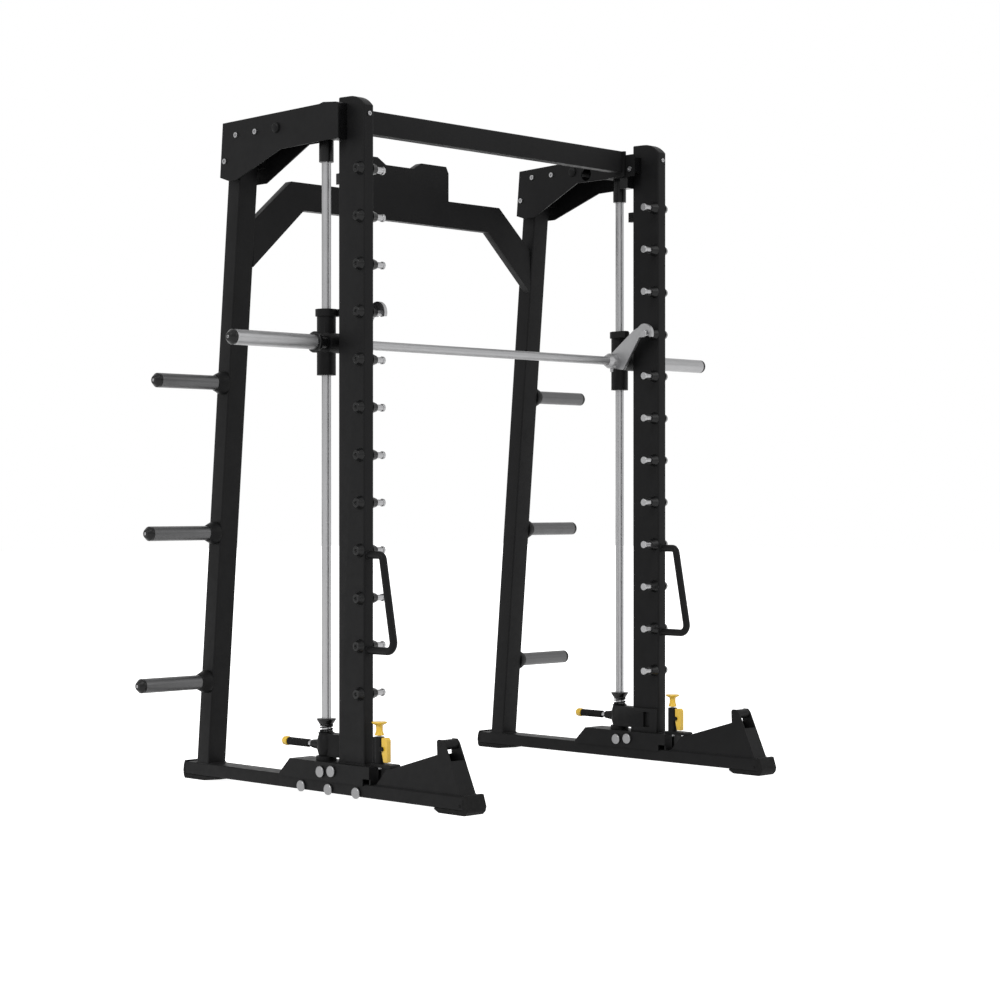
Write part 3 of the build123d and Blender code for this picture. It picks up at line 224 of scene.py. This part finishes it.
def add_piece(name, mesh, node, stands_in=True):
    """A piece in the node's finish that rides on its body, and can stand in for it."""
    piece = bpy.data.objects.new(name, mesh)
    bpy.context.scene.collection.objects.link(piece)
    mesh.materials.clear()
    mesh.materials.append(material_of(node))
    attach(piece, NODE_BODY[node])
    if stands_in:
        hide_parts(node)
    return piece


def round_edges(piece, width, segments=2, angle=30):
    """Rounds the piece's edges that are sharper than angle, by width in metres."""
    bevel = piece.modifiers.new("bevel", "BEVEL")
    bevel.width = width
    bevel.segments = segments
    bevel.limit_method = "ANGLE"
    bevel.angle_limit = math.radians(angle)
    bevel.harden_normals = False
    bevel.miter_outer = "MITER_ARC"
    finish_mesh(piece.data)


ROUND_CORNERS = 12        # a face with fewer corners isn't a circle
ROUND_EVEN = 0.1 * MM     # how far its corners may differ in their distance from the middle
ROUND_MATCH = 0.3 * MM    # how far its radius may be from the one asked for


def round_faces(work, radius):
    """The mesh's flat round faces of this radius, in metres."""
    found = []
    for face in work.faces:
        centre = face.calc_center_median()
        reach = [(vert.co - centre).length for vert in face.verts]
        even = max(reach) - min(reach) < ROUND_EVEN
        close = abs(max(reach) - radius) < ROUND_MATCH
        if even and close and len(reach) >= ROUND_CORNERS:
            found.append(face)
    return found


def sink_hexagon(work, face, across, depth):
    """A hexagonal socket in the middle of a flat round face."""
    normal = face.normal.copy()
    centre = face.calc_center_median()
    side = normal.orthogonal().normalized()
    other = normal.cross(side)
    rings = [list(face.verts)]
    for sink in (0, depth):
        ring = []
        for vert in rings[0]:
            arm = (vert.co - centre).normalized()
            turn = math.atan2(arm.dot(other), arm.dot(side)) % (math.pi / 3)
            reach = across / 2 / math.cos(turn - math.pi / 6)
            ring.append(work.verts.new(centre + arm * reach - normal * sink))
        rings.append(ring)
    work.faces.remove(face)
    for outer, inner in zip(rings, rings[1:]):
        for i in range(len(outer)):
            j = (i + 1) % len(outer)
            work.faces.new((outer[i], outer[j], inner[j], inner[i]))
    work.faces.new(rings[-1])


MERGE_DISTANCE = 0.005 * MM            # corners closer than this are one
STRAIGHT = math.radians(0.4)          # an edge or corner that turns less isn't needed


def rounded(node, width, sockets):
    """The node's own shape with its sharp edges rounded by width, in metres. Each socket gives
    the radius of the faces that get one, its width across flats and its depth."""
    mesh = frame["nodes"][node].data.copy()
    work = bmesh.new()
    work.from_mesh(mesh)
    bmesh.ops.remove_doubles(work, verts=work.verts, dist=MERGE_DISTANCE)
    flat = [e for e in work.edges if len(e.link_faces) == 2 and e.calc_face_angle(1) < STRAIGHT]
    bmesh.ops.dissolve_edges(work, edges=flat, use_verts=False)
    loose = [v for v in work.verts if len(v.link_edges) == 2
             and abs(v.calc_edge_angle(math.pi)) < STRAIGHT]
    bmesh.ops.dissolve_verts(work, verts=loose)
    for radius, across, depth in sockets:
        for face in round_faces(work, radius):
            sink_hexagon(work, face, across, depth)
    work.to_mesh(mesh)
    work.free()
    mesh.name = f"{node}_rounded"
    round_edges(add_piece(f"{node}_rounded", mesh, node), width)


def skin(name, rings, closed=False):
    """A mesh through rings of points, with a lid on each end unless it is closed."""
    work = bmesh.new()
    rows = [[work.verts.new(point) for point in ring] for ring in rings]
    pairs = list(zip(rows, rows[1:]))
    if closed:
        pairs.append((rows[-1], rows[0]))
    for low, high in pairs:
        for i in range(len(low)):
            j = (i + 1) % len(low)
            work.faces.new((low[i], low[j], high[j], high[i]))
    if not closed:
        work.faces.new(list(reversed(rows[0])))
        work.faces.new(rows[-1])
    bmesh.ops.recalc_face_normals(work, faces=work.faces)
    mesh = bpy.data.meshes.new(name)
    work.to_mesh(mesh)
    work.free()
    return mesh


def turned(name, start, axis, profile, sides=48):
    """A mesh turned about an axis through start, from (distance along it, radius) points."""
    axis = Vector(axis)
    side = axis.orthogonal().normalized()
    other = axis.cross(side)
    angles = [2 * math.pi * i / sides for i in range(sides)]
    rings = [[start + axis * along + (side * math.cos(a) + other * math.sin(a)) * radius
              for a in angles] for along, radius in profile]
    return skin(name, rings)


def tube(name, route, radii, sides=8, closed=False):
    """A round tube along a route of points, with a radius for each of them."""
    rings = []
    count = len(route)
    for i, point in enumerate(route):
        before = route[(i - 1) % count] if closed else route[max(i - 1, 0)]
        after = route[(i + 1) % count] if closed else route[min(i + 1, count - 1)]
        ahead = (after - before).normalized()
        across = ahead.cross(Vector((0, 0, 1)))
        if across.length < 0.1:
            across = ahead.cross(Vector((0, 1, 0)))
        across.normalize()
        up = across.cross(ahead)
        rings.append([point + (across * math.cos(2 * math.pi * k / sides)
                               + up * math.sin(2 * math.pi * k / sides)) * radii[i]
                      for k in range(sides)])
    return skin(name, rings, closed)


def spaced(corners, step):
    """Points every step along the closed line of straight stretches between corners."""
    points = []
    for start, end in zip(corners, corners[1:] + corners[:1]):
        count = max(1, round((end - start).length / step))
        points += [start.lerp(end, i / count) for i in range(count)]
    return points


WELD_RADIUS = 3.2 * MM
WELD_STEP = 1.5 * MM      # between two points of the bead
WELD_RIPPLE = 5 * MM      # length of a ripple
WELD_DEPTH = 0.18         # depth of a ripple, as a share of the radius


def weld(name, node, corners):
    """A rippled weld bead round the corners, on the node's body."""
    route = spaced(corners, WELD_STEP)
    ripple = math.pi * WELD_STEP / WELD_RIPPLE
    radii = [WELD_RADIUS * (1 - WELD_DEPTH + WELD_DEPTH * abs(math.sin(i * ripple)))
             for i in range(len(route))]
    mesh = tube(name, route, radii, closed=True)
    finish_mesh(mesh, 60)
    add_piece(name, mesh, node, stands_in=False)


def world_points(node):
    """Corners of the node's mesh, where they stand at rest."""
    item = frame["nodes"][node]
    return [item.matrix_world @ vert.co for vert in item.data.vertices]


def foot_corners(node):
    """Corners of the rectangle that a post stands on."""
    points = world_points(node)
    low = min(point.z for point in points)
    foot = [point for point in points if point.z < low + 0.1 * MM]
    x0, x1 = min(p.x for p in foot), max(p.x for p in foot)
    y0, y1 = min(p.y for p in foot), max(p.y for p in foot)
    return [Vector((x, y, low)) for x, y in ((x0, y0), (x1, y0), (x1, y1), (x0, y1))]


def middle(node):
    """The middle of the node's box."""
    low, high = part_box(node)
    return (Vector(low) + Vector(high)) / 2


# ---- Detail pieces

SPRING_TURNS = 4.25
SPRING_WIRE = 2.2 * MM
SPRING_STEPS = 40         # points a turn
SPRING_SIDES = 10


def buffer_spring(side):
    """The coil under the buffer cup, with closed ends."""
    node = f"buffer_spring_{side}"
    low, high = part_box(node)
    centre = middle(node)
    radius = (high[0] - low[0]) / 2 - SPRING_WIRE
    rise = high[2] - low[2] - 2 * SPRING_WIRE
    count = round(SPRING_TURNS * SPRING_STEPS)
    route = []
    for i in range(count + 1):
        turn = 2 * math.pi * i / SPRING_STEPS
        share = i / count
        climb = share - math.sin(2 * math.pi * share) / (2 * math.pi)
        route.append(Vector((centre.x + radius * math.cos(turn),
                             centre.y + radius * math.sin(turn),
                             low[2] + SPRING_WIRE + rise * climb)))
    mesh = tube(f"{node}_coil", route, [SPRING_WIRE] * len(route), SPRING_SIDES)
    finish_mesh(mesh, 50)
    coil = add_piece(f"{node}_coil", mesh, node)
    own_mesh(coil)


GRIP_RIBS = 7
GRIP_STEPS = 96           # points along the grip
GRIP_GROOVE = 1.2 * MM    # depth between two ribs
GRIP_ROUND = 3 * MM       # length of the rounding at each end
GRIP_FALL = 0.6           # depth of that rounding, as a share of its length


def pull_grip(side):
    """The pull pin's rubber grip, with rounded ribs."""
    node = f"pull_grip_{side}"
    low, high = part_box(node)
    length = high[1] - low[1]
    radius = (high[0] - low[0]) / 2
    profile = []
    for i in range(GRIP_STEPS + 1):
        along = length * i / GRIP_STEPS
        groove = max(0, math.cos(2 * math.pi * GRIP_RIBS * along / length)) ** 3
        end = max(0, 1 - min(along, length - along) / GRIP_ROUND)
        profile.append((along, radius - GRIP_GROOVE * groove - GRIP_ROUND * end ** 2 * GRIP_FALL))
    start = Vector((middle(node).x, low[1], middle(node).z))
    mesh = turned(f"{node}_ribbed", start, (0, 1, 0), profile)
    finish_mesh(mesh, 50)
    add_piece(f"{node}_ribbed", mesh, node)


PULL_CAP_SIDES = 10
# (share of the length, share of the radius)
PULL_CAP_OUTLINE = [(0, 0.9), (0.12, 1), (0.75, 1), (0.93, 0.9), (1, 0.78)]
PULL_CAP_ROUND = 1.2 * MM


def pull_cap(side):
    """The faceted cap on the end of the pull pin's grip."""
    node = f"pull_cap_{side}"
    low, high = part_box(node)
    length = high[1] - low[1]
    radius = (high[0] - low[0]) / 2
    profile = [(length * along, radius * wide) for along, wide in PULL_CAP_OUTLINE]
    start = Vector((middle(node).x, low[1], middle(node).z))
    mesh = turned(f"{node}_faceted", start, (0, 1, 0), profile, PULL_CAP_SIDES)
    cap = add_piece(f"{node}_faceted", mesh, node)
    round_edges(cap, PULL_CAP_ROUND, segments=3, angle=20)


PEG_APART = 100 * MM      # a greater step up than this leads to the next peg
ROOT_WIDE = 38 * MM       # radius of a cone at the post
ROOT_NARROW = 27 * MM     # and at the peg
ROOT_STRAIGHT = 10 * MM   # length of the stretch that doesn't taper
ROOT_LENGTH = 34 * MM
ROOT_ROUND = 1.5 * MM


def peg_groups(sign):
    """The points of each storage peg on one side, from the lowest peg up."""
    points = [point for point in world_points("storage_pegs") if point.x * sign > 0]
    points.sort(key=lambda point: point.z)
    groups = [[points[0]]]
    for point in points[1:]:
        if point.z - groups[-1][-1].z > PEG_APART:
            groups.append([])
        groups[-1].append(point)
    return groups


def peg_roots(side):
    """The cones that the storage pegs stand in, on the rear upright's outer face."""
    node = f"rear_upright_{side}"
    sign = SIDES[side]
    face = sign * max(point.x * sign for point in world_points(node))
    profile = [(0, ROOT_WIDE), (ROOT_STRAIGHT, ROOT_WIDE), (ROOT_LENGTH, ROOT_NARROW)]
    for i, group in enumerate(peg_groups(sign)):
        y = (min(p.y for p in group) + max(p.y for p in group)) / 2
        z = (min(p.z for p in group) + max(p.z for p in group)) / 2
        name = f"peg_root_{side}_{i}"
        mesh = turned(name, Vector((face, y, z)), (sign, 0, 0), profile)
        round_edges(add_piece(name, mesh, node, stands_in=False), ROOT_ROUND)


RING_CORNERS = 24         # corners of the round beads


def welds(side):
    """The beads where the posts, the bracket and the handle meet what carries them."""
    for node in (f"rear_upright_{side}", f"front_upright_{side}", f"dock_bracket_{side}"):
        weld(f"{node}_weld", node, foot_corners(node))
    node = f"grab_handle_{side}"
    low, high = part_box(node)
    radius = (high[0] - low[0]) / 2
    x = middle(node).x
    angles = [2 * math.pi * i / RING_CORNERS for i in range(RING_CORNERS)]
    for place, z in (("top", high[2] - radius), ("foot", low[2] + radius)):
        ring = [Vector((x + radius * math.cos(a), high[1], z + radius * math.sin(a)))
                for a in angles]
        weld(f"{node}_{place}_weld", node, ring)


def dress_nodes():
    """Every CAD node gets its slot's material."""
    for name, node in frame["nodes"].items():
        node.data.materials.clear()
        node.data.materials.append(material_of(name))


# ---- Setting

FLOOR_SIZE = 60
FLOOR_GLOW = 0.97         # what the floor sends to the camera by itself
FLOOR_SHADE = 0.8         # what it sends back of the light that falls on it
AMBIENT = 0.45


def camera_or_glossy(tree):
    """1 for rays from the camera or from a mirroring surface, and 0 for others."""
    rays = tree.nodes.new("ShaderNodeLightPath")
    seen = tree.nodes.new("ShaderNodeMath")
    seen.operation = "MAXIMUM"
    tree.links.new(rays.outputs["Is Camera Ray"], seen.inputs[0])
    tree.links.new(rays.outputs["Is Glossy Ray"], seen.inputs[1])
    return seen.outputs[0]


def lit_white(name):
    """A diffuse surface that shows white to the camera and in reflections, and keeps its shadow."""
    material = bpy.data.materials.new(name)
    material.use_nodes = True
    tree = material.node_tree
    tree.nodes.clear()
    out = tree.nodes.new("ShaderNodeOutputMaterial")
    total = tree.nodes.new("ShaderNodeAddShader")
    diffuse = tree.nodes.new("ShaderNodeBsdfDiffuse")
    diffuse.inputs["Color"].default_value = (FLOOR_SHADE, FLOOR_SHADE, FLOOR_SHADE, 1)
    glow = tree.nodes.new("ShaderNodeEmission")
    power = tree.nodes.new("ShaderNodeMath")
    power.operation = "MULTIPLY"
    power.inputs[1].default_value = FLOOR_GLOW
    tree.links.new(camera_or_glossy(tree), power.inputs[0])
    tree.links.new(power.outputs[0], glow.inputs["Strength"])
    tree.links.new(diffuse.outputs[0], total.inputs[0])
    tree.links.new(glow.outputs[0], total.inputs[1])
    tree.links.new(total.outputs[0], out.inputs["Surface"])
    return material


def make_floor():
    """The pale floor."""
    mesh = bpy.data.meshes.new("floor")
    h = FLOOR_SIZE / 2
    mesh.from_pydata([(-h, -h, 0), (h, -h, 0), (h, h, 0), (-h, h, 0)], [], [(0, 1, 2, 3)])
    mesh.materials.append(lit_white("floor_white"))
    floor = bpy.data.objects.new("floor", mesh)
    bpy.context.scene.collection.objects.link(floor)


def make_world():
    """Even light from all round, in front of a white backdrop."""
    world = bpy.data.worlds.new("studio")
    world.use_nodes = True
    tree = world.node_tree
    tree.nodes.clear()
    out = tree.nodes.new("ShaderNodeOutputWorld")
    ambient = tree.nodes.new("ShaderNodeBackground")
    ambient.inputs["Color"].default_value = (1, 1, 1, 1)
    ambient.inputs["Strength"].default_value = AMBIENT
    backdrop = tree.nodes.new("ShaderNodeBackground")
    backdrop.inputs["Color"].default_value = (1, 1, 1, 1)
    mix = tree.nodes.new("ShaderNodeMixShader")
    tree.links.new(camera_or_glossy(tree), mix.inputs["Fac"])
    tree.links.new(ambient.outputs[0], mix.inputs[1])
    tree.links.new(backdrop.outputs[0], mix.inputs[2])
    tree.links.new(mix.outputs[0], out.inputs["Surface"])
    bpy.context.scene.world = world


def make_light(name, azimuth, elevation, strength, angle):
    """A soft sun from that compass bearing (0 is +Y) and height above the horizon."""
    data = bpy.data.lights.new(name, "SUN")
    data.energy = strength
    data.angle = math.radians(angle)
    light = bpy.data.objects.new(name, data)
    light.rotation_euler = (math.radians(90 - elevation), 0, math.radians(180 - azimuth))
    bpy.context.scene.collection.objects.link(light)


# ---- Dressing the cage

# width of the rounding on each node's edges, in millimetres
PAIR_EDGES = {"front_upright": 1.2, "rear_upright": 1.2, "base_rail": 1, "saddle": 1.5,
              "dock_bracket": 1.5, "foot_clamp": 2.5, "top_plates": 1.2, "hook": 1.6,
              "carriage": 2, "latch_body": 1.6, "release_tab": 2, "sleeve_ends": 2,
              "buffer_cup": 1.5, "latch_knob": 2, "sleeve": 0.8}
GROUP_EDGES = {"crossbeam": 1, "rear_brace": 1.5, "rail_boots": 3, "rack_pins": 2.5,
               "pin_collars": 1.5, "peg_ends": 2.2, "frame_bolts": 0.9, "pivot_bolts": 2,
               "base_bolts": 2.5, "rod_bushes": 1.5, "dock_bars": 1, "top_webs": 1,
               # top_pads: black pads in the gap between the top plates and the front uprights;
               # their black stands in for the deep shade in that gap, a dark piece put where there
               # is shade
               "top_pads": 2}
# radius of the head's face, width across the socket's flats and depth, in millimetres
SOCKETS = {"frame_bolts": [(9, 8, 4), (7, 6, 3), (5, 5, 3)], "sleeve": [(5, 5, 3)],
           "hook": [(6, 6, 4)]}


def sockets_of(name):
    """The sockets that the node's screw heads get, in metres."""
    return [tuple(value * MM for value in socket) for socket in SOCKETS.get(name, [])]


make_camera()
make_floor()
make_world()
make_light("key", -100, 40, 1.3, 25)
make_light("fill", -200, 30, 0.6, 40)
dress_nodes()
for name, edge in PAIR_EDGES.items():
    for side in SIDES:
        rounded(f"{name}_{side}", edge * MM, sockets_of(name))
for name, edge in GROUP_EDGES.items():
    rounded(name, edge * MM, sockets_of(name))
for side in SIDES:
    buffer_spring(side)
    pull_grip(side)
    pull_cap(side)
    peg_roots(side)
    welds(side)

bpy.context.scene.view_settings.view_transform = "Standard"
bpy.context.view_layer.update()
